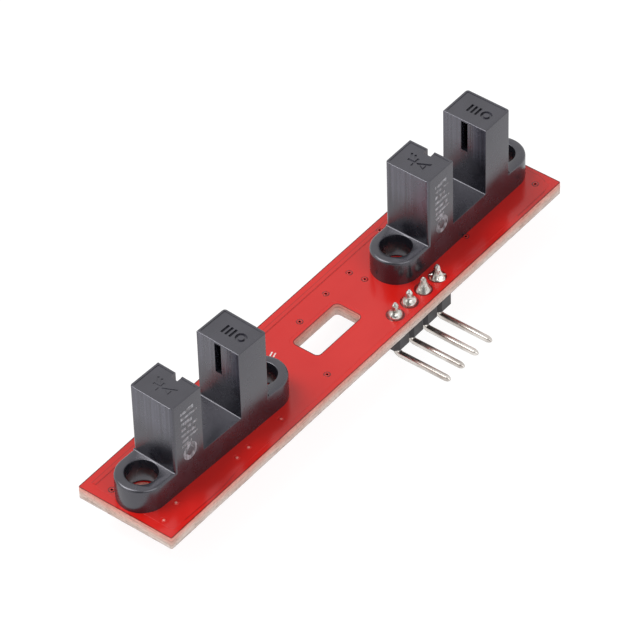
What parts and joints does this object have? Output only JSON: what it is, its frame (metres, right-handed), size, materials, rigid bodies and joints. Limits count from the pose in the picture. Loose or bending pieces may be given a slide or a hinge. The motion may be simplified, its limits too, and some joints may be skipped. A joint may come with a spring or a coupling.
{
  "type": "slotted optical sensor board",
  "caption": "Slotted optical sensor board: flanged photo interrupters with tall hollow towers on a long red circuit board with a routed window and a bent square-pin header.",
  "frame": {"origin": "axis of the board's first screw hole, at the top face of the laminate", "axes": "+X along the board to its far end, +Y to the edge away from the pins, +Z out of the sensor side"},
  "size_m": [0.0692, 0.0183, 0.0184],
  "materials": {
    "glass_fibre_laminate": "rough routed edge",
    "red_solder_mask": "glossy",
    "sensor_housing_plastic": "semi-gloss moulded",
    "clear_epoxy": "clear moulded",
    "dark_epoxy": "moulded",
    "tinned_lead": "tin plated",
    "solder": "bright reflowed solder",
    "header_plastic": "moulded",
    "tinned_pin": "tin plated",
    "resistor_ceramic": "glazed",
    "capacitor_ceramic": "sintered"
  },
  "bodies": {
    "root": {"circuit_board": "glass_fibre_laminate", "emitter_resistor_1": "resistor_ceramic", "emitter_resistor_1_solder_a": "solder", "emitter_resistor_1_solder_b": "solder", "emitter_resistor_2": "resistor_ceramic", "emitter_resistor_2_solder_a": "solder", "emitter_resistor_2_solder_b": "solder", "header_body": "header_plastic", "header_pin_1": "tinned_pin", "header_pin_2": "tinned_pin", "header_pin_3": "tinned_pin", "header_pin_4": "tinned_pin", "header_pin_solder_1": "solder", "header_pin_solder_2": "solder", "header_pin_solder_3": "solder", "header_pin_solder_4": "solder", "output_resistor_1": "resistor_ceramic", "output_resistor_1_solder_a": "solder", "output_resistor_1_solder_b": "solder", "output_resistor_2": "resistor_ceramic", "output_resistor_2_solder_a": "solder", "output_resistor_2_solder_b": "solder", "sensor_1_detector": "dark_epoxy", "sensor_1_emitter": "clear_epoxy", "sensor_1_housing": "sensor_housing_plastic", "sensor_1_lead_1": "tinned_lead", "sensor_1_lead_2": "tinned_lead", "sensor_1_lead_3": "tinned_lead", "sensor_1_lead_4": "tinned_lead", "sensor_1_lead_solder_1": "solder", "sensor_1_lead_solder_2": "solder", "sensor_1_lead_solder_3": "solder", "sensor_1_lead_solder_4": "solder", "sensor_2_detector": "dark_epoxy", "sensor_2_emitter": "clear_epoxy", "sensor_2_housing": "sensor_housing_plastic", "sensor_2_lead_1": "tinned_lead", "sensor_2_lead_2": "tinned_lead", "sensor_2_lead_3": "tinned_lead", "sensor_2_lead_4": "tinned_lead", "sensor_2_lead_solder_1": "solder", "sensor_2_lead_solder_2": "solder", "sensor_2_lead_solder_3": "solder", "sensor_2_lead_solder_4": "solder", "solder_mask_bottom": "red_solder_mask", "solder_mask_top": "red_solder_mask", "supply_capacitor": "capacitor_ceramic", "supply_capacitor_solder_a": "solder", "supply_capacitor_solder_b": "solder"}
  },
  "joints": []
}
